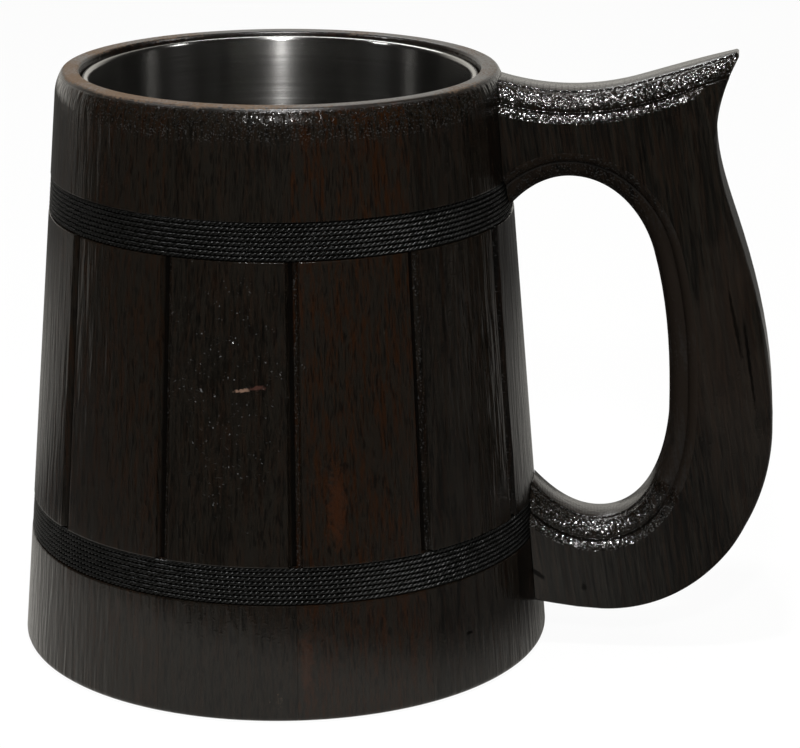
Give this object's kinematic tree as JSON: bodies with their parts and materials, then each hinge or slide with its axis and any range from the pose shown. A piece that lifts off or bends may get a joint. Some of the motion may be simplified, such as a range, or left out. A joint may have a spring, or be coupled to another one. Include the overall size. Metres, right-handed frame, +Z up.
{
  "type": "wooden beer mug",
  "caption": "Tapered wooden mug of glued staves with a steel cup inside, two bands of twisted cord and a moulded wooden handle with a pointed thumb rest.",
  "frame": {"origin": "the middle of the flat base, on the surface that the mug stands on", "axes": "+Z up through the middle of the cup, +X out along the handle, +Y square to both"},
  "size_m": [0.1827, 0.1286, 0.1461],
  "materials": {
    "stained_wood": "dark stain under satin varnish",
    "handle_wood": "dark stain under satin varnish",
    "dowel_wood": "plain",
    "steel": "brushed",
    "sealant": "matt",
    "cord": "waxed twisted cord"
  },
  "bodies": {
    "root": {"stave_01": "stained_wood", "stave_02": "stained_wood", "stave_03": "stained_wood", "stave_04": "stained_wood", "stave_05": "stained_wood", "stave_06": "stained_wood", "stave_07": "stained_wood", "stave_08": "stained_wood", "stave_09": "stained_wood", "stave_10": "stained_wood", "stave_11": "stained_wood", "stave_12": "stained_wood", "bottom_disc": "stained_wood", "handle": "handle_wood", "steel_liner": "steel", "lip_seal": "sealant", "cord_upper": "cord", "cord_lower": "cord", "dowel_1": "dowel_wood", "dowel_2": "dowel_wood", "dowel_3": "dowel_wood", "dowel_4": "dowel_wood"}
  },
  "joints": []
}
